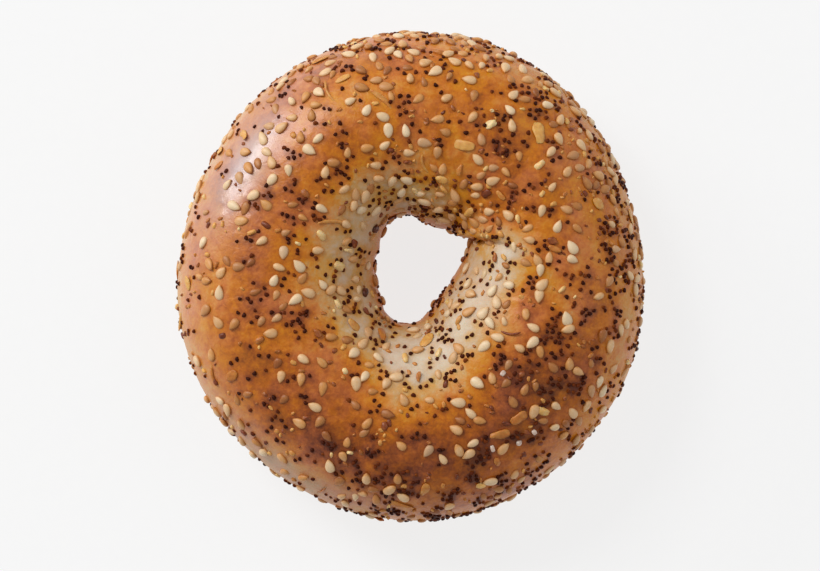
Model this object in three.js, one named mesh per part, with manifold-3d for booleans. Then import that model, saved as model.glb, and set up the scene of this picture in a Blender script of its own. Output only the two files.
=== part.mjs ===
// A bagel, 113 x 119 x 40 mm: one plump ring of boiled and baked dough, as uneven as hand-rolled dough is,
// with sesame seeds, onion flakes and poppy seeds baked onto its crust. Dough and toppings are one solid.
// Millimetres, +Z up, origin at the middle of the flat base. A bearing runs anticlockwise from +X, and around
// is the angle round the dough's section: 0 at the outside, 90 at the crest, 180 in the hole, 270 underneath.
import * as THREE from "three";
import { ConvexGeometry } from "three/addons/geometries/ConvexGeometry.js";
import { ParametricGeometry } from "three/addons/geometries/ParametricGeometry.js";
import { mergeVertices } from "three/addons/utils/BufferGeometryUtils.js";
import Module from "manifold-3d";

const wasm = await Module();
wasm.setup();
const { degToRad, radToDeg, smoothstep } = THREE.MathUtils;
const TURN = 2 * Math.PI;
const UP = new THREE.Vector3(0, 0, 1);

// ---------- driving dimensions ----------

// An outline seen from above: a mean radius, and lobes of [waves round the ring, size, bearing of one crest].
const OUTER = { centre: [0, 0], radius: 57.4, lobes: [[2, 1.35, 88], [3, 0.5, 79], [5, 0.25, 52]] };
const HOLE = {
  centre: [1.6, 2.3],
  radius: 11.3,
  lobes: [[1, 0.75, 151], [2, 1.45, 69], [3, 1.25, 12], [4, 0.3, 23], [5, 0.55, 37]],
};

// The dough's section: how high its widest line and its crest are, how square its two halves are, and how far
// the lower half would reach below the baking sheet that pressed it flat.
const SECTION = { widest: 16, crest: 39, topSquareness: 2.1, baseSquareness: 2.6, flattened: 1.2 };
const CREST_LOBES = [[1, 0.5, 40], [2, 0.6, 130], [3, 0.4, 20]];

// Swells and hollows of the rolled dough: where, how far each way in degrees, and how high.
const SWELLS = [
  { bearing: 318, around: 134, wide: 17, long: 24, height: 1.7 },
  { bearing: 287, around: 128, wide: 13, long: 24, height: -1.3 },
  { bearing: 60, around: 74, wide: 26, long: 34, height: 0.9 },
  { bearing: 148, around: 66, wide: 24, long: 32, height: -0.9 },
  { bearing: 205, around: 84, wide: 22, long: 30, height: 0.8 },
  { bearing: 252, around: 58, wide: 18, long: 26, height: -0.7 },
];

// The seam where the rope's ends were pressed together: a crease that runs out of the hole and dies away past
// the crest. One side stands proud by step, and the other is low by as much.
const SEAM = {
  from: [11.5, 9.2],
  to: [25, 7.4],
  step: 1.5,
  reach: 4.5,
  edge: 0.8,
  groove: 1.6,
  grooveWidth: 1.1,
  opens: 6, // before from, so that it doesn't cross to the far side of the hole
  fades: 0.35, // of its length
  starts: [80, 115], // around
  ends: [195, 240],
};

const RING_STEPS = 46;
const SECTION_STEPS = 22;

// Toppings: how long and wide each is under the crust, how far it reaches in and stands proud, the room that
// it keeps round its middle, and how much it may lean, in radians.
const FLAKE = { count: 36, length: 4.2, width: 2.6, sunk: 0.5, proud: 0.6, room: 2, lean: 0.35, seed: 11 };
const SESAME = { count: 245, length: 4.1, width: 2.6, sunk: 0.5, proud: 0.8, room: 1.3, lean: 0.3, seed: 23 };
const POPPY = { count: 48, length: 1.5, proud: 0.75, room: 0.85, seed: 37 };
const SESAME_TAPER = 0.36;
const SESAME_RIDGE = [-0.24, 0.12]; // where it starts and ends, of the seed's length
const FLAKE_SLOPE = 0.75; // how large a flake's top is, of its foot
const SEEDS_END = 4.5; // toppings stay this far above the surface that the ring rests on
const FEWEST = 0.12; // the share that stick low on the sides
const DENSEST = 3.6; // no place takes more than this many times the plain share

// Where more or fewer toppings stuck than elsewhere, as spots round the ring.
const SESAME_DRIFTS = [
  { bearing: 72, around: 26, wide: 30, long: 30, more: 2.4 },
  { bearing: 14, around: 44, wide: 15, long: 34, more: 1.3 },
  { bearing: 58, around: 132, wide: 28, long: 22, more: 1.2 },
  { bearing: 165, around: 82, wide: 34, long: 36, more: 1.1 },
  { bearing: 228, around: 50, wide: 14, long: 36, more: 1.6 },
  { bearing: 266, around: 72, wide: 24, long: 30, more: 1.0 },
  { bearing: 330, around: 78, wide: 26, long: 40, more: 0.9 },
  { bearing: 186, around: 22, wide: 20, long: 32, more: -1.0 },
  { bearing: 247, around: 18, wide: 12, long: 26, more: -0.6 },
  { bearing: 343, around: 20, wide: 14, long: 24, more: -0.6 },
];
const FLAKE_DRIFTS = [
  { bearing: 55, around: 128, wide: 34, long: 26, more: 2.5 },
  { bearing: 128, around: 20, wide: 14, long: 30, more: 1.6 },
  { bearing: 246, around: 142, wide: 22, long: 24, more: 1.4 },
];
const POPPY_DRIFTS = [
  { bearing: 8, around: 22, wide: 18, long: 30, more: 2.4 },
  { bearing: 76, around: 20, wide: 16, long: 24, more: 2.2 },
  { bearing: 282, around: 26, wide: 24, long: 34, more: 2.6 },
];

// ---------- the dough ----------

const wave = (lobes, bearing) =>
  lobes.reduce((sum, [waves, size, crest]) => sum + size * Math.cos(waves * (bearing - degToRad(crest))), 0);

function outlinePoint({ centre, radius, lobes }, bearing) {
  const r = radius + wave(lobes, bearing);
  return new THREE.Vector2(centre[0] + r * Math.cos(bearing), centre[1] + r * Math.sin(bearing));
}

const squared = (value, squareness) => Math.sign(value) * Math.abs(value) ** (2 / squareness);

// How far two angles are apart, from -180 to 180 degrees.
const turnBetween = (a, b) => ((a - b + 540) % 360) - 180;

// The sum of soft round spots at a place on the surface, each weighed by the value stored under key.
function spots(list, key, bearing, around) {
  return list.reduce((sum, spot) => {
    const x = turnBetween(radToDeg(bearing), spot.bearing) / spot.wide;
    const y = turnBetween(radToDeg(around), spot.around) / spot.long;
    return sum + spot[key] * Math.exp(-0.5 * (x * x + y * y));
  }, 0);
}

function seamRelief(plan, around) {
  const from = new THREE.Vector2(...SEAM.from);
  const along = new THREE.Vector2(...SEAM.to).sub(from);
  const length = along.length();
  along.normalize();
  const offset = plan.clone().sub(from);
  const s = along.cross(offset);
  const ahead = offset.dot(along);
  const angle = radToDeg(around);
  const fade = smoothstep(ahead, -SEAM.opens, 0) * (1 - smoothstep(ahead, SEAM.fades * length, length));
  const face = smoothstep(angle, ...SEAM.starts) * (1 - smoothstep(angle, ...SEAM.ends));
  const lip = SEAM.step * Math.tanh(s / SEAM.edge) * Math.exp(-Math.abs(s) / SEAM.reach);
  return fade * face * (lip - SEAM.groove * Math.exp(-((s / SEAM.grooveWidth) ** 2)));
}

function doughPoint(bearing, around, target = new THREE.Vector3()) {
  const inner = outlinePoint(HOLE, bearing);
  const outer = outlinePoint(OUTER, bearing);
  const middle = inner.clone().add(outer).multiplyScalar(0.5);
  const outward = outer.clone().sub(inner);
  const halfWidth = outward.length() / 2;
  outward.normalize();

  const [c, s] = [Math.cos(around), Math.sin(around)];
  const squareness = s > 0 ? SECTION.topSquareness : SECTION.baseSquareness;
  const rise = SECTION.crest - SECTION.widest + wave(CREST_LOBES, bearing);
  const halfHeight = s > 0 ? rise : SECTION.widest + SECTION.flattened;
  const plan = middle.clone().addScaledVector(outward, halfWidth * squared(c, squareness));
  const relief = spots(SWELLS, "height", bearing, around) + seamRelief(plan, around);
  plan.addScaledVector(outward, relief * c);
  const height = SECTION.widest + halfHeight * squared(s, squareness) + relief * s;
  return target.set(plan.x, plan.y, Math.max(0, height));
}

function doughNormal(bearing, around) {
  const step = degToRad(0.25);
  const round = doughPoint(bearing + step, around).sub(doughPoint(bearing - step, around));
  const over = doughPoint(bearing, around + step).sub(doughPoint(bearing, around - step));
  return round.cross(over).normalize();
}

// ---------- where the toppings lie ----------

// A repeatable row of numbers from 0 to 1.
function draws(seed) {
  let state = seed;
  return () => {
    state = (Math.imul(state, 1664525) + 1013904223) >>> 0;
    return state / 2 ** 32;
  };
}

// Finds places for one kind of topping: more in its drifts, few near the base, none too close to those laid
// before. Each place is added to laid.
function scatter({ count, room, seed }, drifts, laid) {
  const draw = draws(seed);
  const places = [];
  while (places.length < count) {
    const bearing = TURN * draw();
    const around = TURN * draw();
    const [chance, heading, size, lean] = [draw(), draw(), draw(), draw()];
    const point = doughPoint(bearing, around);
    const surface = Math.hypot(point.x, point.y) / OUTER.radius; // the draws crowd together in the hole
    const cover = FEWEST + (1 - FEWEST) * smoothstep(point.z, SEEDS_END, 1.5 * SECTION.widest);
    const density = surface * cover * Math.max(0, 1 + spots(drifts, "more", bearing, around));
    if (point.z < SEEDS_END || chance * DENSEST > density) continue;
    if (laid.some((other) => other.point.distanceTo(point) < other.room + room)) continue;
    const place = { point, normal: doughNormal(bearing, around), heading: TURN * heading, size, lean, room };
    places.push(place);
    laid.push(place);
  }
  return places;
}

// Lays a topping that is modelled about the origin, its long way along X, onto the crust.
function lay(geometry, { point, normal, heading }, lean = 0, lift = 0) {
  geometry.rotateY(lean).rotateZ(heading);
  geometry.applyQuaternion(new THREE.Quaternion().setFromUnitVectors(UP, normal));
  return geometry.translate(...point.clone().addScaledVector(normal, lift));
}

// ---------- toppings ----------

// Makes something for each corner of an outline round the origin, the first at +X.
const corners = (count, corner) => Array.from({ length: count }, (_, i) => corner((TURN * i) / count, i));

// Turns a draw from 0 to 1 into a factor from 1 - spread to 1 + spread.
const varied = (drawn, spread) => 1 + spread * (2 * drawn - 1);

// A flat drop, pointed at +X: the hull of its outline, which is under the crust, and a ridge along its back.
function sesameSeed(place) {
  const scale = varied(place.size, 0.14);
  const [length, width] = [SESAME.length * scale, SESAME.width * scale];
  const outline = corners(6, (turn) => {
    const halfWidth = (width / 2) * (1 - SESAME_TAPER * Math.cos(turn));
    return new THREE.Vector3((length / 2) * Math.cos(turn), halfWidth * Math.sin(turn), -SESAME.sunk);
  });
  const ridge = SESAME_RIDGE.map((share) => new THREE.Vector3(share * length, 0, SESAME.proud));
  return lay(new ConvexGeometry([...outline, ...ridge]), place, SESAME.lean * (place.lean - 0.5));
}

// A thin chip of dried onion with five uneven sides and a flat top.
function onionFlake(place) {
  const draw = draws(Math.floor(place.size * 1e6) + 1);
  const reach = corners(5, () => 0.5 * varied(draw(), 0.25) * varied(place.size, 0.4));
  const ring = (share, z) =>
    corners(5, (turn, i) => {
      const [x, y] = [FLAKE.length * Math.cos(turn), FLAKE.width * Math.sin(turn)];
      return new THREE.Vector3(x, y, 0).multiplyScalar(reach[i] * share).setZ(z);
    });
  const chip = new ConvexGeometry([...ring(1, -FLAKE.sunk), ...ring(FLAKE_SLOPE, FLAKE.proud)]);
  return lay(chip, place, FLAKE.lean * (place.lean - 0.5));
}

// A grain of eight triangles, sunk about half way.
function poppySeed(place) {
  const radius = (POPPY.length / 2) * varied(place.size, 0.12);
  return lay(new THREE.OctahedronGeometry(radius), place, 0, POPPY.proud - radius);
}

// ---------- one solid ----------

function solid(geometry) {
  geometry.deleteAttribute("normal");
  geometry.deleteAttribute("uv");
  const merged = mergeVertices(geometry, 1e-4);
  const vertProperties = merged.getAttribute("position").array;
  const triVerts = new Uint32Array(merged.index.array);
  return new wasm.Manifold(new wasm.Mesh({ numProp: 3, vertProperties, triVerts }));
}

const surfacePoint = (u, v, target) => doughPoint(TURN * u, TURN * v, target);
const dough = new ParametricGeometry(surfacePoint, RING_STEPS, SECTION_STEPS);

const laid = [];
const toppings = [
  ...scatter(FLAKE, FLAKE_DRIFTS, laid).map(onionFlake),
  ...scatter(SESAME, SESAME_DRIFTS, laid).map(sesameSeed),
  ...scatter(POPPY, POPPY_DRIFTS, laid).map(poppySeed),
];
const fused = wasm.Manifold.union([dough, ...toppings].map(solid)).getMesh();

const geometry = new THREE.BufferGeometry();
geometry.setAttribute("position", new THREE.BufferAttribute(fused.vertProperties, 3));
geometry.setIndex(new THREE.BufferAttribute(fused.triVerts, 1));
geometry.computeVertexNormals();

const crust = new THREE.MeshStandardMaterial({ color: 0xc0803c, roughness: 0.42, flatShading: true });
const bagel = new THREE.Mesh(geometry, crust);
bagel.name = "bagel";

const group = new THREE.Group();
group.add(bagel);
export default group;
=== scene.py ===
import math

import bpy
import numpy as np
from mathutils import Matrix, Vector, kdtree, noise


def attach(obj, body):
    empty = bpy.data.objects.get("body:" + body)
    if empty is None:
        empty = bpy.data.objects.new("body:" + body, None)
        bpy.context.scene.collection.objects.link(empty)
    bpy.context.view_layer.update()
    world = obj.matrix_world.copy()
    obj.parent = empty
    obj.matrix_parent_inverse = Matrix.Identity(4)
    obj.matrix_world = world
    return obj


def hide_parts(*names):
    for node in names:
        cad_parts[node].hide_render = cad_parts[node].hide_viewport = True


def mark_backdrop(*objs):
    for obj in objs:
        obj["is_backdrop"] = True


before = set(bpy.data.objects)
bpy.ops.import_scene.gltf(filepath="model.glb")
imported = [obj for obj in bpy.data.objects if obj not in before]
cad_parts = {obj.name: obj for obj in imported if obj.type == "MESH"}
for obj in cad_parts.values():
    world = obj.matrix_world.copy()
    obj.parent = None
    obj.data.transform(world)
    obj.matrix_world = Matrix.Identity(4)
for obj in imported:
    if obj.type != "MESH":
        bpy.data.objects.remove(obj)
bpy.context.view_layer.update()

# An everything bagel. Shapes are worked out in millimetres, like the solid's, and go into meshes in metres.
# A bearing runs anticlockwise from +X, and around is the angle round the dough's section:
# 0 at the outside, 90 at the crest, 180 in the hole, 270 underneath.
mm = 0.001
turn = 2 * math.pi
allRound = 9999  # a spot's width or length, in degrees, that is the same all the way round


def linearColour(hexColour):
    channels = [int(hexColour[i:i + 2], 16) / 255 for i in (1, 3, 5)]
    return tuple(c / 12.92 if c <= 0.04045 else ((c + 0.055) / 1.055) ** 2.4 for c in channels) + (1.0,)


def addNode(tree, kind, inputs=None, stops=(), **settings):  # stops are a colour ramp's (place, hex colour)
    node = tree.nodes.new(kind)
    for name, value in settings.items():
        setattr(node, name, value)
    for name, value in (inputs or {}).items():
        if isinstance(value, bpy.types.NodeSocket):
            tree.links.new(value, node.inputs[name])
        else:
            node.inputs[name].default_value = value
    for i, (place, hexColour) in enumerate(stops):
        elements = node.color_ramp.elements
        element = elements[i] if i < len(elements) else elements.new(1)
        element.position = place
        element.color = linearColour(hexColour)
    return node


def newMaterial(name, **sockets):  # sockets are the constants of its Principled shader
    material = bpy.data.materials.new(name)
    material.use_nodes = True
    shader = material.node_tree.nodes["Principled BSDF"]
    for socket, value in sockets.items():
        shader.inputs[socket.replace("_", " ")].default_value = value
    return material, material.node_tree, shader


def newPiece(name, points, corners, sizes, uvs, material, attributes):
    mesh = bpy.data.meshes.new(name)
    mesh.vertices.add(len(points))
    mesh.vertices.foreach_set("co", (points * mm).astype(np.float32).ravel())
    mesh.loops.add(len(corners))
    mesh.loops.foreach_set("vertex_index", corners.astype(np.int32))
    mesh.polygons.add(len(sizes))
    mesh.polygons.foreach_set("loop_start", (np.cumsum(sizes) - sizes).astype(np.int32))
    mesh.update(calc_edges=True)
    mesh.polygons.foreach_set("use_smooth", [True] * len(sizes))
    mesh.uv_layers.new(name="OFBake").data.foreach_set("uv", uvs.astype(np.float32).ravel())
    for attribute, values in attributes.items():
        mesh.attributes.new(attribute, "FLOAT", "POINT").data.foreach_set("value", values.astype(np.float32))
    mesh.materials.append(material)
    piece = bpy.data.objects.new(name, mesh)
    bpy.context.scene.collection.objects.link(piece)
    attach(piece, "root")
    print(name, len(mesh.polygons), "faces")
    return piece


def smoothstep(value, low, high):
    share = np.clip((value - low) / (high - low), 0, 1)
    return share * share * (3 - 2 * share)


# The dough's form is the solid's.
dough = {
    "outer": {"centre": (0, 0), "radius": 57.4, "lobes": [(2, 1.35, 88), (3, 0.5, 79), (5, 0.25, 52)]},
    "hole": {"centre": (1.6, 2.3), "radius": 11.3,
             "lobes": [(1, 0.75, 151), (2, 1.45, 69), (3, 1.25, 12), (4, 0.3, 23), (5, 0.55, 37)]},
    "widest": 16, "crest": 39, "topSquareness": 2.1, "baseSquareness": 2.6, "flattened": 1.2,
    "crestLobes": [(1, 0.5, 40), (2, 0.6, 130), (3, 0.4, 20)],
    "swells": [(318, 134, 17, 24, 1.7), (287, 128, 13, 24, -1.3), (60, 74, 26, 34, 0.9),  # see spots()
               (148, 66, 24, 32, -0.9), (205, 84, 22, 30, 0.8), (252, 58, 18, 26, -0.7)],
    "seam": {"from": (11.5, 9.2), "to": (25, 7.4), "step": 1.5, "reach": 4.5, "edge": 0.8, "groove": 1.6,
             "grooveWidth": 1.1, "opens": 6, "fades": 0.35, "starts": (80, 115), "ends": (195, 240)},
}


def wave(lobes, bearing):
    return sum(size * np.cos(waves * (bearing - math.radians(crest))) for waves, size, crest in lobes)


def outlinePoint(outline, bearing):
    r = outline["radius"] + wave(outline["lobes"], bearing)
    x, y = outline["centre"]
    return np.stack((x + r * np.cos(bearing), y + r * np.sin(bearing)), -1)


def turnBetween(a, b):
    return (a - b + 540) % 360 - 180


def spots(places, bearing, around):  # each place is (bearing, around, wide, long, amount), in degrees
    total = np.zeros(np.shape(bearing))
    for spotBearing, spotAround, wide, long, amount in places:
        x = turnBetween(np.degrees(bearing), spotBearing) / wide
        y = turnBetween(np.degrees(around), spotAround) / long
        total = total + amount * np.exp(-0.5 * (x * x + y * y))
    return total


def squared(value, squareness):
    return np.sign(value) * np.abs(value) ** (2 / squareness)


def seamRelief(plan, around):  # one side of the seam stands proud, and the other is low by as much
    seam = dough["seam"]
    along = np.subtract(seam["to"], seam["from"])
    length = np.linalg.norm(along)
    along = along / length
    offset = plan - seam["from"]
    s = along[0] * offset[..., 1] - along[1] * offset[..., 0]
    ahead = offset @ along
    angle = np.degrees(around)
    fade = smoothstep(ahead, -seam["opens"], 0) * (1 - smoothstep(ahead, seam["fades"] * length, length))
    face = smoothstep(angle, *seam["starts"]) * (1 - smoothstep(angle, *seam["ends"]))
    lip = seam["step"] * np.tanh(s / seam["edge"]) * np.exp(-np.abs(s) / seam["reach"])
    return fade * face * (lip - seam["groove"] * np.exp(-(s / seam["grooveWidth"]) ** 2))


def doughPoint(bearing, around):
    inner = outlinePoint(dough["hole"], bearing)
    outer = outlinePoint(dough["outer"], bearing)
    middle = (inner + outer) / 2
    outward = outer - inner
    width = np.linalg.norm(outward, axis=-1)
    outward = outward / width[..., None]
    c, s = np.cos(around), np.sin(around)
    squareness = np.where(s > 0, dough["topSquareness"], dough["baseSquareness"])
    rise = dough["crest"] - dough["widest"] + wave(dough["crestLobes"], bearing)
    halfHeight = np.where(s > 0, rise, dough["widest"] + dough["flattened"])
    plan = middle + outward * (width / 2 * squared(c, squareness))[..., None]
    relief = spots(dough["swells"], bearing, around) + seamRelief(plan, around)
    plan = plan + outward * (relief * c)[..., None]
    height = dough["widest"] + halfHeight * squared(s, squareness) + relief * s
    return np.concatenate((plan, np.maximum(0, height)[..., None]), -1)


def doughNormal(bearing, around):
    step = math.radians(0.25)
    ring = doughPoint(bearing + step, around) - doughPoint(bearing - step, around)
    over = doughPoint(bearing, around + step) - doughPoint(bearing, around - step)
    normal = np.cross(ring, over)
    return normal / np.linalg.norm(normal, axis=-1, keepdims=True)


# What the kettle and the oven add to the plain form: soft lumps all over, folds where the dough was drawn
# into the hole, and blisters in the crust. Lengths and heights are in millimetres, but folds are per radian.
# A shift takes one noise away from the others.
baking = {"lump": 13, "lumpHeight": 0.35,
          "ripple": 4.5, "rippleHeight": 0.11, "rippleShift": (7, 0, 0),
          "blister": 2.2, "blisterHeight": 0.3, "blisterShare": 0.3, "blisterShift": (0, 31, 0),
          "folds": 4.6, "foldTwist": 0.3, "foldHeight": 0.5, "foldsStart": (112, 150), "foldsEnd": (205, 235),
          "plainBelow": 3, "baseLift": 0.15}


def bakedRelief(points, bearing, around):
    heights = np.empty(len(points))
    angle = np.degrees(around)
    drawn = smoothstep(angle, *baking["foldsStart"]) * (1 - smoothstep(angle, *baking["foldsEnd"]))
    circle = baking["folds"] * np.stack((np.cos(bearing), np.sin(bearing), baking["foldTwist"] * around), -1)
    rippleShift = Vector(baking["rippleShift"])
    blisterShift = Vector(baking["blisterShift"])
    for i, point in enumerate(points):
        p = Vector(point)
        height = baking["lumpHeight"] * noise.noise(p / baking["lump"])
        height += baking["rippleHeight"] * noise.noise(p / baking["ripple"] + rippleShift)
        bubble = noise.noise(p / baking["blister"] + blisterShift) - baking["blisterShare"]
        height += baking["blisterHeight"] * max(0, bubble) / (1 - baking["blisterShare"])
        heights[i] = height + baking["foldHeight"] * drawn[i] * noise.noise(Vector(circle[i]))
    return heights * smoothstep(points[:, 2], 0, baking["plainBelow"])  # the base stays flat


crust = {
    "ringSteps": 400, "sectionSteps": 236,
    # How brown the oven left each part of the section: (from around, to around, how brown), where 0 is raw
    # cream and 1 is deep red-brown. The hole's wall and the part tucked under it are darker partly as painted
    # shade.
    "browned": {"flank": (0, 32, 0.38), "crest": (80, 80, 0.66), "paleRing": (132, 150, 0.2),
                "shadedHoleWall": (180, 182, 0.54), "tuckedUnder": (220, 235, 0.44), "base": (265, 275, 0.58),
                "lowerFlank": (318, 340, 0.34)},
    "spots": [(282, 56, 28, 22, 0.3), (236, 64, 12, 14, 0.16), (330, 60, 14, 14, 0.12),
              (292, 24, 26, 9, 0.16), (238, 110, 8, 9, 0.28), (78, 120, 38, 12, 0.12),
              # (34, 124) darkens the hole's north lobe above the seam, partly as painted shade.
              (34, 124, 18, 22, 0.28), (20, 76, 18, 11, -0.12), (105, 72, 20, 9, -0.16),
              (145, 34, 40, 15, 0.22), (130, 100, 24, 8, 0.1), (153, 132, 20, 12, -0.03),
              (272, 110, 18, 12, -0.16), (315, 92, 9, 10, 0.2), (345, 79, 9, 7, -0.22),
              (345, 103, 8, 8, 0.22), (0, 92, 8, 8, -0.12), (305, 130, 46, 14, -0.14),
              (0, 124, 10, 12, -0.14), (36, 44, 16, 14, 0.14), (300, 4, 60, 14, 0.12),
              (236, 28, 16, 15, -0.11), (212, 110, 14, 7, 0.22), (108, 34, 16, 12, 0.14),
              (15, 116, 7, 10, -0.32), (216, 42, 11, 24, 0.15), (160, 8, 26, 12, -0.14)],
    # How thick the glaze is. The hole's wall has none.
    "shine": 0.2,
    "shineSpots": [(150, 36, 36, 26, 0.8), (118, 70, 22, 12, -0.2), (0, 178, allRound, 24, -0.4)],
    # A pale lilac film mixed into the crust's colour, thinner where seeds lie. By the window's bearing it is
    # a painted highlight standing in for the glaze's sheen; on the lower left rim it is starch from the
    # kettle, dried to a pale bloom.
    "sheenAndStarchColour": "#B2A8AA", "sheenAndStarchUnderSeeds": 0.6,
    "sheenAndStarchSpots": [(146, 52, 11, 10, 0.66), (150, 32, 28, 16, 0.18), (236, 26, 18, 14, 0.34)],
    # The crust darkens round each seed: a glaze stain, and round sesame partly painted contact shade.
    "stainsAndContactShade": {"poppy": (2.6, 0.6), "sesame": (2.6, 0.7)},  # how far each darkens the crust, and how much
    "mottling": [(8, 0.36), (2.6, 0.42), (0.9, 0.34)],  # wavelength, and how much it adds
}


def browning(bearing, around):  # it changes smoothly from each part of the section to the next
    parts = list(crust["browned"].values())
    level = parts[0][2]
    for (_, end, brown), (start, _, nextBrown) in zip(parts, parts[1:] + [(360, 360, level)]):
        level = level + (nextBrown - brown) * smoothstep(np.degrees(around), end, start)
    return level + spots(crust["spots"], bearing, around)


# Toppings lie where the solid's do: the same rule, with the same draws in the same order. Under seedsEnd the
# sides have none, and above fullFrom there is no thinning out.
scatterRule = {"draws": 6, "seedsEnd": 4.5, "fullFrom": 1.5 * dough["widest"], "fewest": 0.12,
               "clumpShift": (0, 0, 57), "clumpEdges": (-0.25, 0.4), "clumpShare": 2.0}


def drawRow(seed, count):  # a repeatable row of numbers from 0 to 1, each worked out from the one before
    factor, step, limit = 1664525, 1013904223, 2 ** 32
    state = seed
    row = np.empty(count)
    for i in range(count):
        state = (state * factor + step) % limit
        row[i] = state / limit
    return row


def clumped(points, size):  # none between the clumps, and twice the plain share in them
    shift = Vector(scatterRule["clumpShift"])
    field = np.array([noise.noise(Vector(point) / size + shift) for point in points])
    return scatterRule["clumpShare"] * smoothstep(field, *scatterRule["clumpEdges"])


def densityOf(kind, points, bearing, around):
    surface = np.hypot(points[:, 0], points[:, 1]) / dough["outer"]["radius"]
    cover = smoothstep(points[:, 2], scatterRule["seedsEnd"], scatterRule["fullFrom"])
    cover = scatterRule["fewest"] + (1 - scatterRule["fewest"]) * cover
    density = surface * cover * np.maximum(0, 1 + spots(kind["drifts"], bearing, around))
    return density * clumped(points, kind["clumps"]) if "clumps" in kind else density


def scatter(kind, laid):  # laid has a row for each topping already there: its place and its room
    draws = drawRow(kind["seed"], scatterRule["draws"] * kind["tries"]).reshape(-1, scatterRule["draws"])
    bearing, around = turn * draws[:, 0], turn * draws[:, 1]
    points = doughPoint(bearing, around)
    low, high = kind.get("heights", (scatterRule["seedsEnd"], math.inf))
    stuck = (points[:, 2] >= low) & (points[:, 2] < high)
    stuck &= draws[:, 2] * kind["densest"] <= densityOf(kind, points, bearing, around)
    kept = []
    for i in np.flatnonzero(stuck):
        gaps = np.linalg.norm(laid[:, :3] - points[i], axis=1) - laid[:, 3]
        if gaps.min(initial=math.inf) < kind["room"]:
            continue
        kept.append(i)
        laid = np.vstack((laid, (*points[i], kind["room"])))
        if len(kept) == kind["count"]:
            break
    bearing, around = bearing[kept], around[kept]
    normal = doughNormal(bearing, around)
    foot = points[kept] + normal * bakedRelief(points[kept], bearing, around)[:, None]
    places = {"point": foot, "normal": normal, "heading": turn * draws[kept, 3], "size": draws[kept, 4],
              "lean": draws[kept, 5], "browned": browning(bearing, around)}
    return places, laid


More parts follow.
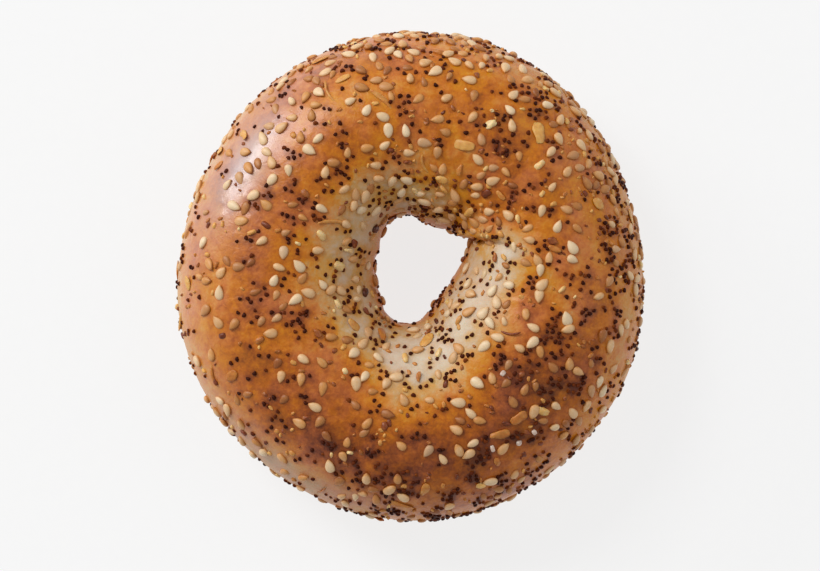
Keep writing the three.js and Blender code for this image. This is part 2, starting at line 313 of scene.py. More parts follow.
# Every kind of topping, in the order in which they are laid: the solid's three, then those it leaves out.
# Those from the tray were picked up from it, and are pressed flush into the base.
toppings = {
    "onion": {"count": 36, "tries": 3000, "room": 2, "seed": 11, "densest": 3.6,
              "drifts": [(55, 128, 34, 26, 2.5), (128, 20, 14, 30, 1.6), (246, 142, 22, 24, 1.4)]},
    "sesame": {"count": 245, "tries": 9000, "room": 1.3, "seed": 23, "densest": 3.6,
               "drifts": [(72, 26, 30, 30, 2.4), (14, 44, 15, 34, 1.3), (58, 132, 28, 22, 1.2),
                          (165, 82, 34, 36, 1.1), (228, 50, 14, 36, 1.6), (266, 72, 24, 30, 1.0),
                          (330, 78, 26, 40, 0.9), (186, 22, 20, 32, -1.0), (247, 18, 12, 26, -0.6),
                          (343, 20, 14, 24, -0.6)]},
    "poppy": {"count": 48, "tries": 3000, "room": 0.85, "seed": 37, "densest": 3.6,
              "drifts": [(8, 22, 18, 30, 2.4), (76, 20, 16, 24, 2.2), (282, 26, 24, 34, 2.6)]},
    "loose sesame": {"count": 95, "tries": 14000, "room": 1.2, "seed": 43, "densest": 6.0,
                     "drifts": [(40, 120, 44, 22, 3.5), (325, 112, 34, 22, 2.5), (178, 108, 44, 20, 2.5),
                                (270, 118, 30, 14, 2.5), (55, 34, 30, 20, 2.5), (86, 66, 18, 18, 1.5),
                                (190, 20, 26, 24, -0.9), (343, 20, 14, 24, -0.5)]},
    "sunk sesame": {"count": 225, "tries": 40000, "room": 1.0, "seed": 61, "densest": 9.0,
                    "drifts": [(55, 26, 36, 18, 8.0), (310, 130, 60, 14, 2.8), (60, 118, 44, 16, 3.4),
                               (190, 105, 26, 20, 2.0), (228, 132, 34, 12, 4.0), (110, 136, 34, 14, 3.0),
                               (155, 25, 16, 16, 1.5), (290, 40, 30, 22, 1.0), (190, 30, 14, 24, -0.8)]},
    "slivers": {"count": 14, "tries": 3000, "room": 1.0, "seed": 47, "densest": 4.0,
                "drifts": [(60, 118, 40, 30, 2.0), (140, 40, 24, 22, 1.5), (250, 140, 30, 16, 2.0)]},
    "charred bits": {"count": 22, "tries": 6000, "room": 0.7, "seed": 83, "densest": 5.0, "clumps": 6,
                     "drifts": [(100, 28, 22, 16, 2.0), (310, 85, 22, 26, 2.5), (285, 60, 24, 26, 1.5),
                                (160, 86, 14, 14, 1.5)]},
    "garlic": {"count": 54, "tries": 9000, "room": 0.9, "seed": 29, "densest": 7.0,
               "drifts": [(272, 142, 26, 10, 5.0), (214, 134, 20, 14, 6.0), (66, 122, 34, 18, 6.0),
                          (20, 40, 50, 20, -0.6), (150, 50, 60, 30, -0.8), (290, 50, 50, 30, -0.7)]},
    "granules": {"count": 165, "tries": 18000, "room": 0.6, "seed": 53, "densest": 6.0, "clumps": 5,
                 "drifts": [(60, 120, 40, 26, 3.0), (56, 28, 32, 22, 4.0), (240, 140, 26, 22, 2.0),
                            (20, 145, 18, 20, 1.0), (300, 140, 40, 14, 1.5), (206, 128, 20, 16, 3.0)]},
    "salt": {"count": 4, "tries": 3000, "room": 0.9, "seed": 97, "densest": 4.0,
             "drifts": [(0, 0, allRound, allRound, -1.0), (314, 108, 5, 7, 5.0), (299, 60, 5, 7, 5.0)]},
    "fine poppy": {"count": 1330, "tries": 120000, "room": 0.42, "seed": 71, "densest": 9.0, "clumps": 4.5,
                   "drifts": [(8, 34, 12, 20, 3.0), (40, 24, 12, 12, 2.5), (78, 22, 20, 12, 3.5),
                              (58, 62, 4, 18, 4.5), (22, 100, 10, 10, 1.5), (103, 52, 8, 16, 2.0),
                              (157, 84, 9, 10, 3.0), (137, 106, 8, 8, 3.0), (174, 24, 5, 10, 1.0),
                              (236, 24, 15, 14, -0.7), (268, 40, 9, 24, 4.5), (292, 42, 9, 22, 4.5),
                              (308, 92, 7, 9, 9.0), (320, 56, 8, 12, 3.0), (340, 92, 8, 12, 4.5),
                              (200, 94, 8, 10, 1.5), (52, 145, 12, 12, 4.0), (85, 142, 12, 10, 3.0),
                              (115, 130, 8, 8, 3.0), (150, 142, 10, 8, 1.0), (200, 138, 14, 10, 3.0),
                              (242, 150, 10, 10, 3.5), (274, 120, 8, 9, 4.0), (295, 124, 8, 8, 4.0),
                              (305, 140, 30, 12, 3.0), (165, 20, 34, 26, -0.8), (170, 62, 14, 9, -0.7),
                              (205, 50, 18, 24, -0.5), (70, 80, 40, 14, -0.4)]},
    "crumbs": {"count": 430, "tries": 60000, "room": 0.4, "seed": 59, "densest": 9.0, "clumps": 6,
               "drifts": [(50, 30, 38, 24, 7.0), (60, 118, 44, 24, 4.5), (300, 95, 40, 20, 2.5),
                          (225, 110, 24, 20, 2.0), (280, 60, 34, 24, 1.5), (150, 70, 40, 30, -0.4)]},
    "tray sesame": {"count": 50, "tries": 6000, "room": 1.2, "seed": 101, "densest": 0.5,
                    "heights": (-1, 4.5), "drifts": [(40, 262, 30, 12, 2.0), (210, 280, 40, 14, 2.0)]},
    "tray poppy": {"count": 150, "tries": 30000, "room": 0.42, "seed": 103, "densest": 1.2, "clumps": 6,
                   "heights": (-1, 4.5), "drifts": [(320, 268, 30, 14, 2.0), (120, 285, 40, 14, 1.5)]},
}

laid = np.empty((0, 4))
placesOf = {}
for name, kind in toppings.items():
    placesOf[name], laid = scatter(kind, laid)
    print(name, len(placesOf[name]["size"]), "of", kind["count"], "laid")


def together(*names):
    return {key: np.concatenate([placesOf[name][key] for name in names]) for key in placesOf[names[0]]}


def underneath(places):
    return places["normal"][:, 2] < -0.5


def varied(drawn, spread):
    return 1 + spread * (2 * drawn - 1)


def lay(shapes, places, lean, lift):  # shapes: (toppings, points, 3), modelled with their long way along X
    zero, one = np.zeros(len(shapes)), np.ones(len(shapes))
    heading, normal = places["heading"], places["normal"]
    tip = np.array(((np.cos(lean), zero, np.sin(lean)), (zero, one, zero),
                    (-np.sin(lean), zero, np.cos(lean))))
    spin = np.array(((np.cos(heading), -np.sin(heading), zero), (np.sin(heading), np.cos(heading), zero),
                     (zero, zero, one)))
    axis = np.cross((0.0, 0.0, 1.0), normal)
    skew = np.array(((zero, -axis[:, 2], axis[:, 1]), (axis[:, 2], zero, -axis[:, 0]),
                     (-axis[:, 1], axis[:, 0], zero))).transpose(2, 0, 1)
    align = np.eye(3) + skew + skew @ skew / np.maximum(1e-6, 1 + normal[:, 2])[:, None, None]
    turned = align @ spin.transpose(2, 0, 1) @ tip.transpose(2, 0, 1)
    foot = places["point"] + normal * np.broadcast_to(lift, len(shapes))[:, None]
    return np.einsum("nij,npj->npi", turned, shapes) + foot[:, None, :]


# A seed's or crumb's grid: rings along X, from the blunt end at s = -1 to the tip at s = 1, closed at both
# ends. For each point a is its angle, round a ball's radius there, and bent how far a bow of 1 shifts it.
def beadGrid(rings, sides):
    s = np.concatenate(((-1.0,), np.repeat(-np.cos(math.pi * np.arange(1, rings) / rings), sides), (1.0,)))
    a = np.concatenate(((0.0,), np.tile(turn * np.arange(sides) / sides, rings - 1), (0.0,)))
    corners, sizes = [], []
    for i in range(rings):
        for j in range(sides):
            k = (j + 1) % sides
            here, there = 1 + (i - 1) * sides, 1 + i * sides
            near = [(here + j, i, j), (here + k, i, j + 1)]
            far = [(there + k, i + 1, j + 1), (there + j, i + 1, j)]
            if i == 0:
                near = [(0, 0, j + 0.5)]
            if i == rings - 1:
                far = [(len(s) - 1, rings, j + 0.5)]
            corners.extend(near + far)
            sizes.append(len(near + far))
    corners = np.array(corners)
    return {"s": s, "a": a, "round": np.sqrt(np.maximum(0, 1 - s * s)), "bent": s * s - 0.4,
            "corners": corners[:, 0].astype(int), "sizes": np.array(sizes),
            "uvs": corners[:, 1:] / (rings, sides)}


def newBeads(name, points, grid, material, attributes):  # like beads, each in a UV cell of its own
    count, size = points.shape[:2]
    cells = math.ceil(math.sqrt(count))
    each = np.arange(count)
    cell = np.stack((each % cells, each // cells), -1)
    margin = 0.06
    uvs = (cell[:, None, :] + margin + (1 - 2 * margin) * grid["uvs"]) / cells
    corners = (grid["corners"] + size * each[:, None]).ravel()
    values = {key: np.broadcast_to(value.reshape(count, -1), (count, size)).ravel()
              for key, value in attributes.items()}
    return newPiece(name, points.reshape(-1, 3), corners, np.tile(grid["sizes"], count), uvs.reshape(-1, 2),
                    material, values)


def boiledCrust():
    # Bread crust boiled in malted water and baked: a thin gelatinised skin, so brown parts shine softly
    # and the pale ring by the hole, which the oven hardly reached, stays matt, even and bready. The glaze's
    # IOR is higher than a sugar film's, so that a soft lamp still shows in it.
    material, tree, shader = newMaterial("boiledBreadCrust", IOR=1.46, Specular_IOR_Level=0.3,
                                         Subsurface_Weight=0.08, Subsurface_Radius=(1.0, 0.45, 0.2),
                                         Subsurface_Scale=2 * mm, Coat_Roughness=0.28, Coat_IOR=1.7)
    place = addNode(tree, "ShaderNodeTexCoord").outputs["Object"]
    browned = addNode(tree, "ShaderNodeAttribute", attribute_name="browned").outputs["Fac"]
    stainAndContactShade = addNode(tree, "ShaderNodeAttribute", attribute_name="stainAndContactShade").outputs["Fac"]
    shiny = addNode(tree, "ShaderNodeAttribute", attribute_name="shiny").outputs["Fac"]
    paintedSheenAndStarch = addNode(tree, "ShaderNodeAttribute", attribute_name="paintedSheenAndStarch").outputs["Fac"]
    # The glaze stains, and the painted contact shade round the seeds, darken the tone.
    tone = addNode(tree, "ShaderNodeMath", {0: stainAndContactShade, 1: 0.28, 2: browned},
                   operation="MULTIPLY_ADD").outputs[0]
    patchy = addNode(tree, "ShaderNodeMapRange", {"Value": browned, "From Min": 0.15, "From Max": 0.45,
                                                  "To Min": 0.5}).outputs[0]
    for size, share in crust["mottling"]:
        mottle = addNode(tree, "ShaderNodeTexNoise", {"Vector": place, "Scale": 1 / (size * mm),
                                                      "Detail": 2.0, "Distortion": 0.5})
        uneven = addNode(tree, "ShaderNodeMath", {0: mottle.outputs["Fac"], 1: 0.5}, operation="SUBTRACT")
        amount = addNode(tree, "ShaderNodeMath", {0: patchy, 1: share}, operation="MULTIPLY")
        tone = addNode(tree, "ShaderNodeMath", {0: uneven.outputs[0], 1: amount.outputs[0], 2: tone},
                       operation="MULTIPLY_ADD").outputs[0]
    baked = addNode(tree, "ShaderNodeValToRGB", {"Fac": tone}, stops=[
        (0.0, "#D3C4B0"), (0.15, "#CBB196"), (0.3, "#C9985E"), (0.45, "#CC812E"), (0.6, "#C26B16"),
        (0.75, "#A9550C"), (0.9, "#883F0A"), (1.0, "#682A08")])
    ruddy = addNode(tree, "ShaderNodeTexNoise", {"Vector": place, "Scale": 1 / (7 * mm), "Detail": 2.0,
                                                 "W": 3.0}, noise_dimensions="4D").outputs["Fac"]
    hue = addNode(tree, "ShaderNodeMapRange", {"Value": ruddy, "From Min": 0.3, "From Max": 0.7,
                                               "To Min": 0.497, "To Max": 0.508}).outputs[0]
    rich = addNode(tree, "ShaderNodeMapRange", {"Value": ruddy, "From Min": 0.3, "From Max": 0.7,
                                                "To Min": 0.95, "To Max": 1.06}).outputs[0]
    colour = addNode(tree, "ShaderNodeHueSaturation", {"Color": baked.outputs["Color"], "Hue": hue,
                                                       "Saturation": rich})
    # The pale film mixed in here is a painted highlight on the window's side and a starch film elsewhere.
    sheenedAndFilmed = addNode(tree, "ShaderNodeMix", {0: paintedSheenAndStarch, 6: colour.outputs[0],
                                             7: linearColour(crust["sheenAndStarchColour"])}, data_type="RGBA")
    tree.links.new(sheenedAndFilmed.outputs[2], shader.inputs["Base Color"])
    rough = addNode(tree, "ShaderNodeMapRange", {"Value": tone, "From Min": 0.2, "From Max": 0.6,
                                                 "To Min": 0.68, "To Max": 0.38})
    tree.links.new(rough.outputs[0], shader.inputs["Roughness"])
    glazed = addNode(tree, "ShaderNodeMapRange", {"Value": tone, "From Min": 0.1, "From Max": 0.36})
    glaze = addNode(tree, "ShaderNodeMath", {0: glazed.outputs[0], 1: shiny}, operation="MULTIPLY")
    tree.links.new(glaze.outputs[0], shader.inputs["Coat Weight"])
    wrinkle = addNode(tree, "ShaderNodeTexNoise", {"Vector": place, "Scale": 1 / (1.5 * mm), "Detail": 4.0,
                                                   "Distortion": 0.8})
    # The glaze fills the finest wrinkles.
    for socket, strength in (("Normal", 0.45), ("Coat Normal", 0.12)):
        bump = addNode(tree, "ShaderNodeBump", {"Height": wrinkle.outputs["Fac"], "Strength": strength,
                                                "Distance": 0.4 * mm})
        tree.links.new(bump.outputs["Normal"], shader.inputs[socket])
    return material


# The dark round each seed is partly a glaze stain and partly painted contact shade.
def shadeAndStainsOf(seeds, points):  # the crust is darker round each seed
    near = kdtree.KDTree(len(points))
    for k, point in enumerate(points):
        near.insert(point, k)
    near.balance()
    stainAndContactShade = np.zeros(len(points))
    for kind, (reach, depth) in crust["stainsAndContactShade"].items():
        for seed in seeds[kind]:
            for _, k, distance in near.find_range(seed, reach):
                stainAndContactShade[k] += depth * (1 - distance / reach) ** 2
    return np.minimum(1, stainAndContactShade)


def bakedRing(seeds):  # seeds: where those of each kind lie
    steps, rounds = crust["ringSteps"], crust["sectionSteps"]
    i, j = np.meshgrid(np.arange(steps), np.arange(rounds), indexing="ij")
    bearing, around = turn * i.ravel() / steps, turn * j.ravel() / rounds
    points = doughPoint(bearing, around)
    points += doughNormal(bearing, around) * bakedRelief(points, bearing, around)[:, None]
    points[:, 2] = np.maximum(baking["baseLift"], points[:, 2])
    square = np.stack(((i, j), (i + 1, j), (i + 1, j + 1), (i, j + 1)))  # (corner, way, ring, section)
    corners = (square[:, 0] % steps) * rounds + square[:, 1] % rounds
    uvs = square.transpose(2, 3, 0, 1) / (steps, rounds)
    stainAndContactShade = shadeAndStainsOf(seeds, points)
    bare = 1 - crust["sheenAndStarchUnderSeeds"] * stainAndContactShade
    looks = {"browned": browning(bearing, around), "stainAndContactShade": stainAndContactShade,
             "shiny": crust["shine"] + spots(crust["shineSpots"], bearing, around),
             # the pale film: a painted highlight by the window's side, a starch film elsewhere
             "paintedSheenAndStarch": spots(crust["sheenAndStarchSpots"], bearing, around) * bare}
    return newPiece("crust", points, corners.transpose(1, 2, 0).ravel(), np.full(steps * rounds, 4),
                    uvs.reshape(-1, 2), boiledCrust(), looks)


allSesame = together("sesame", "loose sesame", "sunk sesame", "tray sesame")
allPoppy = together("poppy", "fine poppy", "tray poppy")
ring = bakedRing({"sesame": allSesame["point"], "poppy": allPoppy["point"]})
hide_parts("bagel")

# A seed's size and how it varies, then how it lies, and then how it is toasted and glazed. Pressed ones are
# smaller to the eye, browner, and often under the glaze.
sesameSeed = {"rings": 11, "sides": 14, "seed": 5,
              "length": 3.35, "width": 2.05, "thickness": 1.4, "varies": 0.14, "plump": (0.85, 1.1),
              "wide": (0.9, 1.1), "taper": (0.18, 0.46), "tipTaper": 0.5, "tipFrom": 0.3, "faceRound": 0.9,
              "faceTaper": 0.15, "pressedSmaller": 0.12,
              "lean": 0.4, "proud": 1.0, "sunk": 0.4, "pressedIn": 0.4,
              "toast": (1.5, 2.8), "crustToast": 0.3, "pressedToast": 0.16, "rimToastAndShade": 0.34, "tipToast": 0.2,
              "tipToastFrom": 0.5, "glazed": 0.12, "pressedGlazed": 0.4, "glazedBare": (0.25, 0.7),
              "baseBare": 0.5, "glazeLine": (-0.15, 0.25)}


def hulledSesame():
    # Hulled sesame, toasted on the crust: a waxy pale seed with a satin face. Each seed has its own tone,
    # and the glaze that holds it stains its foot with the crust's colour.
    material, tree, shader = newMaterial("hulledSesame", IOR=1.47, Roughness=0.45, Subsurface_Weight=0.05,
                                         Subsurface_Radius=(1.0, 0.6, 0.3), Subsurface_Scale=0.6 * mm)
    place = addNode(tree, "ShaderNodeTexCoord").outputs["Object"]
    toast = addNode(tree, "ShaderNodeAttribute", attribute_name="toast").outputs["Fac"]
    bare = addNode(tree, "ShaderNodeAttribute", attribute_name="bare").outputs["Fac"]
    browned = addNode(tree, "ShaderNodeAttribute", attribute_name="browned").outputs["Fac"]
    mottle = addNode(tree, "ShaderNodeTexNoise", {"Vector": place, "Scale": 1 / (0.9 * mm), "Detail": 2.0})
    tone = addNode(tree, "ShaderNodeMath", {0: mottle.outputs["Fac"], 1: 0.3, 2: toast},
                   operation="MULTIPLY_ADD")
    tone = addNode(tree, "ShaderNodeMath", {0: tone.outputs[0], 1: 0.15}, operation="SUBTRACT").outputs[0]
    hull = addNode(tree, "ShaderNodeValToRGB", {"Fac": tone}, stops=[
        (0.0, "#E2CAA6"), (0.3, "#DAB385"), (0.6, "#CA8C4A"), (1.0, "#905020")])
    glaze = addNode(tree, "ShaderNodeValToRGB", {"Fac": browned}, stops=[
        (0.1, "#D2B48A"), (0.4, "#C08040"), (0.7, "#9A5724"), (1.0, "#74401C")])
    colour = addNode(tree, "ShaderNodeMix", {"Factor": bare}, data_type="RGBA")
    tree.links.new(glaze.outputs["Color"], colour.inputs[6])
    tree.links.new(hull.outputs["Color"], colour.inputs[7])
    tree.links.new(colour.outputs[2], shader.inputs["Base Color"])
    return material


def sesameSeeds():
    form = sesameSeed
    places = allSesame
    count = len(places["size"])
    rng = np.random.default_rng(form["seed"])
    grid = beadGrid(form["rings"], form["sides"])
    s, a = grid["s"], grid["a"]
    taper = rng.uniform(*form["taper"], count)[:, None]
    tip = 1 - form["tipTaper"] * taper * smoothstep(s, form["tipFrom"], 1.0)
    across = grid["round"] * (1 - taper * s) * tip
    deep = grid["round"] ** form["faceRound"] * (1 - form["faceTaper"] * s)
    plump = rng.uniform(*form["plump"], count)[:, None]
    wide = rng.uniform(*form["wide"], count)[:, None]
    loose = len(together("sesame", "loose sesame")["size"])
    pressed = (np.arange(count) >= loose).astype(float)  # into the dough, before it set
    under = underneath(places)
    scale = (varied(places["size"], form["varies"]) * (1 - form["pressedSmaller"] * pressed))[:, None]
    x = form["length"] / 2 * s * scale
    y = form["width"] / 2 * across * np.cos(a) * scale * wide
    z = form["thickness"] / 2 * deep * np.sin(a) * plump
    sunk = np.maximum(form["sunk"] * rng.random(count) ** 2, form["pressedIn"] * pressed)
    lift = form["proud"] - form["thickness"] / 2 - sunk
    lift = np.where(under, -form["thickness"] / 2 * plump[:, 0], lift)
    lean = np.where(under, 0, form["lean"] * (places["lean"] - 0.5))
    points = lay(np.stack((x, y, z), -1), places, lean, lift)
    toast = rng.beta(*form["toast"], count) + form["crustToast"] * (places["browned"] - 0.5)
    toast = toast + form["pressedToast"] * pressed
    # A seed is darker at its edges and over its lower half: partly toasting, partly painted shade.
    rim = form["rimToastAndShade"] * (1 - np.maximum(0, np.sin(a)) * grid["round"]) ** 2
    toast = toast[:, None] + (rim + form["tipToast"] * smoothstep(s, form["tipToastFrom"], 1.0))
    glazed = rng.random(count) < form["glazed"] + form["pressedGlazed"] * pressed
    clean = np.where(glazed, rng.uniform(*form["glazedBare"], count), 1.0)
    bare = smoothstep(z + lift[:, None], *form["glazeLine"])
    bare = np.where(under[:, None], form["baseBare"], bare) * clean[:, None]
    return newBeads("sesameSeeds", points, grid, hulledSesame(),
                    {"toast": np.clip(toast, 0, 1), "bare": bare, "browned": places["browned"]})


sesameSeeds()

poppySeed = {"rings": 6, "sides": 8, "seed": 7, "length": 1.15, "width": 0.92, "height": 0.85, "bend": 0.18,
             "varies": 0.16, "lean": 0.6, "proud": 0.6, "sunk": 0.25, "glazed": 0.85, "glazeFalls": 1.4,
             "footGlaze": 0.4, "glazeLine": (-0.1, 0.3)}


def bluePoppySeed():
    # Blue poppy seed: a hard dark kidney with a netted skin, browner where the crust's glaze ran over it.
    material, tree, shader = newMaterial("bluePoppySeed", IOR=1.5, Roughness=0.45, Specular_IOR_Level=0.1)
    place = addNode(tree, "ShaderNodeTexCoord").outputs["Object"]
    glazed = addNode(tree, "ShaderNodeAttribute", attribute_name="glazed").outputs["Fac"]
    skin = addNode(tree, "ShaderNodeValToRGB", {"Fac": glazed}, stops=[
        (0.0, "#361004"), (0.4, "#4A1A06"), (0.75, "#652A0A"), (1.0, "#854415")])
    tree.links.new(skin.outputs["Color"], shader.inputs["Base Color"])
    net = addNode(tree, "ShaderNodeTexVoronoi", {"Vector": place, "Scale": 1 / (0.2 * mm)},
                  feature="DISTANCE_TO_EDGE")
    bump = addNode(tree, "ShaderNodeBump", {"Height": net.outputs["Distance"], "Strength": 0.4,
                                            "Distance": 0.1 * mm})
    tree.links.new(bump.outputs["Normal"], shader.inputs["Normal"])
    return material


def poppySeeds():
    form = poppySeed
    places = allPoppy
    count = len(places["size"])
    rng = np.random.default_rng(form["seed"])
    grid = beadGrid(form["rings"], form["sides"])
    s, a = grid["s"], grid["a"]
    scale = varied(places["size"], form["varies"])[:, None]
    x = form["length"] / 2 * s * scale
    y = (form["width"] / 2 * grid["round"] * np.cos(a) + form["bend"] * grid["bent"]) * scale
    z = form["height"] / 2 * grid["round"] * np.sin(a) * scale
    under = underneath(places)
    lift = form["proud"] - form["height"] / 2 - form["sunk"] * rng.random(count) ** 2
    lift = np.where(under, -form["height"] / 2 * scale[:, 0], lift)
    lean = np.where(under, 0, form["lean"] * (places["lean"] - 0.5))
    points = lay(np.stack((x, y, z), -1), places, lean, lift)
    glazed = form["glazed"] * rng.random(count)[:, None] ** form["glazeFalls"]
    glazed = glazed + form["footGlaze"] * (1 - smoothstep(z + lift[:, None], *form["glazeLine"]))
    return newBeads("poppySeeds", points, grid, bluePoppySeed(), {"glazed": glazed})


poppySeeds()

# For each kind: its length, width, thickness and how far it stands proud, how uneven it is, how much it bows,
# and how burnt it is, which is spread evenly between two values or by a beta curve's two shapes.
onionPiece = {
    "rings": 10, "sides": 12, "seed": 11, "lean": 0.35, "varies": 0.4, "slim": (0.6, 1.0), "rimRound": 0.7,
    "rimWaves": (2, 3, 5), "rimTwist": 3, "alongUneven": 0.08, "acrossUneven": 0.25, "deepUneven": 0.2,
    "buckled": 0.12, "bow": 0.16, "curl": (-0.25, 0.1),
    "kinds": {
        "onion": {"size": (4.2, 2.6, 0.5, 0.55), "uneven": 1.7, "bows": 0.4, "burntBetween": (0.25, 0.55)},
        "slivers": {"size": (5.6, 1.0, 0.6, 0.5), "uneven": 1.2, "bows": 1.0, "burntBeta": (2, 2),
                    "burntMost": 0.8},
        "charred bits": {"size": (1.9, 1.5, 0.9, 0.5), "uneven": 1.8, "bows": 0, "burntBetween": (0.6, 0.92)},
        "garlic": {"size": (2.4, 1.7, 1.1, 0.75), "uneven": 1.6, "bows": 0, "burntBeta": (1.4, 2.2)},
        "granules": {"size": (1.4, 1.1, 0.9, 0.55), "uneven": 1.4, "bows": 0, "burntBeta": (2, 3.6)},
        "crumbs": {"size": (1.2, 0.9, 0.8, 0.4), "uneven": 1.6, "bows": 0, "burntBetween": (0.35, 0.85)},
    },
}


def roastedOnion():
    # Dried onion and garlic, roasted on the crust: horny chips from clear gold to nearly burnt.
    material, tree, shader = newMaterial("roastedOnion", IOR=1.45, Roughness=0.42, Subsurface_Weight=0.2,
                                         Subsurface_Radius=(1.0, 0.5, 0.15), Subsurface_Scale=mm)
    place = addNode(tree, "ShaderNodeTexCoord").outputs["Object"]
    burnt = addNode(tree, "ShaderNodeAttribute", attribute_name="burnt").outputs["Fac"]
    vein = addNode(tree, "ShaderNodeTexNoise", {"Vector": place, "Scale": 1 / (1.1 * mm), "Detail": 3.0})
    tone = addNode(tree, "ShaderNodeMath", {0: vein.outputs["Fac"], 1: 0.4, 2: burnt},
                   operation="MULTIPLY_ADD")
    tone = addNode(tree, "ShaderNodeMath", {0: tone.outputs[0], 1: 0.2}, operation="SUBTRACT").outputs[0]
    colour = addNode(tree, "ShaderNodeValToRGB", {"Fac": tone}, stops=[
        (0.0, "#E8CC96"), (0.25, "#DBA658"), (0.5, "#BC742E"), (0.75, "#803A14"), (1.0, "#451A08")])
    tree.links.new(colour.outputs["Color"], shader.inputs["Base Color"])
    return material


def burntShare(kind, count, rng):
    if "burntBetween" in kind:
        return rng.uniform(*kind["burntBetween"], count)
    return kind.get("burntMost", 1.0) * rng.beta(*kind["burntBeta"], count)


def onionPieces():
    form = onionPiece
    kinds = form["kinds"]
    places = together(*kinds)
    counts = [len(placesOf[name]["size"]) for name in kinds]
    count = sum(counts)
    rng = np.random.default_rng(form["seed"])
    grid = beadGrid(form["rings"], form["sides"])
    s, a = grid["s"], grid["a"]
    rounded = grid["round"] ** form["rimRound"]
    sizes = np.repeat([kind["size"] for kind in kinds.values()], counts, axis=0)
    length, width, thickness, proud = sizes.T[:, :, None]
    reach = varied(places["size"], form["varies"])[:, None]
    slim = rng.uniform(*form["slim"], count)[:, None]
    uneven = 0
    for waves in form["rimWaves"]:
        amount = rng.uniform(-1, 1, count)[:, None]
        start = rng.uniform(0, turn, count)[:, None]
        uneven = uneven + amount * np.cos(waves * a + form["rimTwist"] * s + start) / waves
    uneven = uneven * np.repeat([kind["uneven"] for kind in kinds.values()], counts)[:, None]
    bow = rng.uniform(-form["bow"], form["bow"], count)[:, None]
    bow = bow * np.repeat([kind["bows"] for kind in kinds.values()], counts)[:, None]
    curl = rng.uniform(*form["curl"], count)[:, None]
    x = length / 2 * s * reach * (1 + form["alongUneven"] * uneven)
    y = width / 2 * rounded * np.cos(a) * reach * slim * (1 + form["acrossUneven"] * uneven)
    y = y + bow * length * grid["bent"]
    z = thickness / 2 * rounded * np.sin(a) * (1 + form["deepUneven"] * uneven)
    z = z + curl * (2 * x / length) ** 2 + form["buckled"] * thickness * uneven
    lift = (proud - thickness / 2)[:, 0]
    points = lay(np.stack((x, y, z), -1), places, form["lean"] * (places["lean"] - 0.5), lift)
    burnt = np.concatenate([burntShare(kind, number, rng) for kind, number in zip(kinds.values(), counts)])
    return newBeads("onionPieces", points, grid, roastedOnion(), {"burnt": burnt})


onionPieces()

saltGrain = {"rings": 7, "sides": 12, "seed": 13, "length": 1.9, "width": 1.5, "height": 1.2, "varies": 0.3,
             "squash": (0.7, 1.1), "edges": 5, "endRound": 0.5, "lean": 1.2, "proud": 0.8}


def pretzelSalt():
    # Coarse pretzel salt: cloudy white crystals with worn edges.
    material, tree, shader = newMaterial("coarseSaltCrystal", IOR=1.54, Roughness=0.3, Subsurface_Weight=0.4,
                                         Subsurface_Radius=(1.0, 0.9, 0.8), Subsurface_Scale=mm)
    place = addNode(tree, "ShaderNodeTexCoord").outputs["Object"]
    cloud = addNode(tree, "ShaderNodeTexNoise", {"Vector": place, "Scale": 1 / (0.8 * mm), "Detail": 2.0})
    colour = addNode(tree, "ShaderNodeValToRGB", {"Fac": cloud.outputs["Fac"]}, stops=[
        (0.3, "#BFA08C"), (0.7, "#DCCABC")])
    tree.links.new(colour.outputs["Color"], shader.inputs["Base Color"])
    return material


def saltGrains():
    form = saltGrain
    places = placesOf["salt"]
    rng = np.random.default_rng(form["seed"])
    grid = beadGrid(form["rings"], form["sides"])
    s, a = grid["s"], grid["a"]
    rounded = grid["round"] ** form["endRound"]
    scale = varied(places["size"], form["varies"])[:, None]
    squash = rng.uniform(*form["squash"], len(scale))[:, None]
    x = form["length"] / 2 * s * scale
    y = form["width"] / 2 * rounded * squared(np.cos(a), form["edges"]) * scale * squash
    z = form["height"] / 2 * rounded * squared(np.sin(a), form["edges"]) * scale
    lean = form["lean"] * (places["lean"] - 0.5)
    points = lay(np.stack((x, y, z), -1), places, lean, form["proud"] - form["height"] / 2)
    return newBeads("saltGrains", points, grid, pretzelSalt(), {})


saltGrains()

# Most of the floor's white is its own glow, so that what is seen of it down the hole isn't lost in shade.
studio = {"floorWidth": 4, "cameraHeight": 0.8, "pixel": 0.2418 * mm, "imageWidth": 820, "imageHeight": 571,
          "bagelPixel": (411.5, 277.5), "sensor": 36, "room": 0.42, "cardGlow": 0.78}


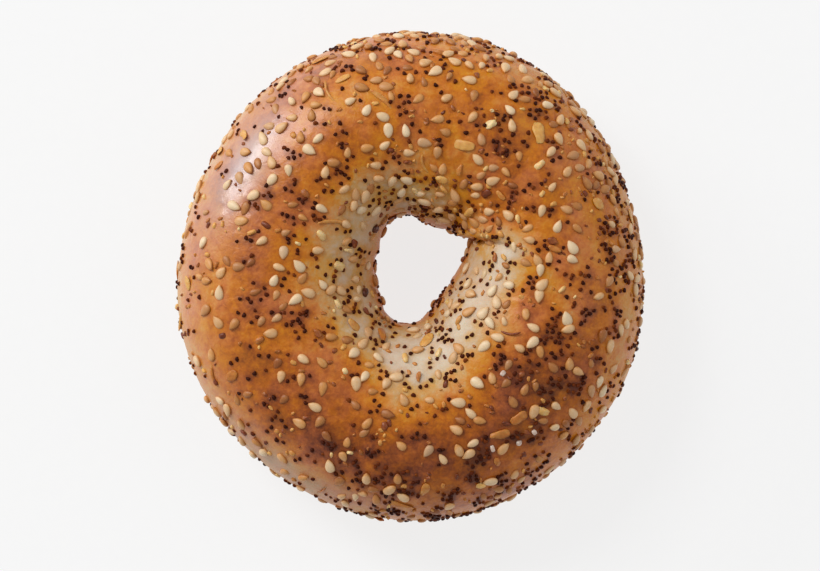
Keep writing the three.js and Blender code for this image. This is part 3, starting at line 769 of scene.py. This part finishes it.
def paleFloor():
    # Matt white card.
    material, tree, shader = newMaterial("whiteCard", Roughness=0.9, Emission_Color=linearColour("#FFFFFF"),
                                         Emission_Strength=studio["cardGlow"], Specular_IOR_Level=0.0)
    place = addNode(tree, "ShaderNodeTexCoord").outputs["Object"]
    fibre = addNode(tree, "ShaderNodeTexNoise", {"Vector": place, "Scale": 1 / (3 * mm), "Detail": 2.0})
    colour = addNode(tree, "ShaderNodeValToRGB", {"Fac": fibre.outputs["Fac"]}, stops=[
        (0.0, "#6E6E6E"), (1.0, "#727272")])
    tree.links.new(colour.outputs["Color"], shader.inputs["Base Color"])
    bpy.ops.mesh.primitive_plane_add(size=studio["floorWidth"])
    floor = bpy.context.object
    floor.name = "floor"
    floor.data.materials.append(material)
    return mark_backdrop(floor)


# A low window for the sheen at one side, a soft lamp over it, and a broad card that opens the far side.
lamps = {
    "window": {"bearing": 146, "elevation": 20, "distance": 1.2, "wide": 0.4, "high": 0.48, "power": 5.8},
    "softbox": {"bearing": 132, "elevation": 46, "distance": 2, "wide": 0.6, "high": 0.6, "power": 16},
    "card": {"bearing": 18, "elevation": 40, "distance": 2, "wide": 2, "high": 1.4, "power": 5.5},
}


def areaLight(name, bearing, elevation, distance, wide, high, power):
    light = bpy.data.lights.new(name, "AREA")
    light.shape = "RECTANGLE"
    light.size = wide
    light.size_y = high
    light.energy = power
    lamp = bpy.data.objects.new(name, light)
    b, e = math.radians(bearing), math.radians(elevation)
    away = Vector((math.cos(e) * math.cos(b), math.cos(e) * math.sin(b), math.sin(e)))
    lamp.location = away * distance
    lamp.rotation_euler = away.to_track_quat("Z", "Y").to_euler()
    bpy.context.scene.collection.objects.link(lamp)


def roomLight():
    world = bpy.data.worlds.new("room")
    world.use_nodes = True
    background = world.node_tree.nodes["Background"]
    background.inputs["Color"].default_value = linearColour("#FFFFFF")
    background.inputs["Strength"].default_value = studio["room"]
    bpy.context.scene.world = world


def overheadCamera():
    camera = bpy.data.cameras.new("camera")
    camera.sensor_width = studio["sensor"]
    height = studio["cameraHeight"]
    viewWidth = studio["imageWidth"] * studio["pixel"]
    camera.lens = studio["sensor"] * (height - dough["widest"] * mm) / viewWidth
    x = (studio["imageWidth"] / 2 - studio["bagelPixel"][0]) * studio["pixel"]
    y = (studio["bagelPixel"][1] - studio["imageHeight"] / 2) * studio["pixel"]
    holder = bpy.data.objects.new("camera", camera)
    holder.location = (x, y, height)
    bpy.context.scene.collection.objects.link(holder)
    bpy.context.scene.camera = holder


paleFloor()
for name, lamp in lamps.items():
    areaLight(name, **lamp)
roomLight()
overheadCamera()
bpy.context.scene.view_settings.view_transform = "Standard"
print("studio set")
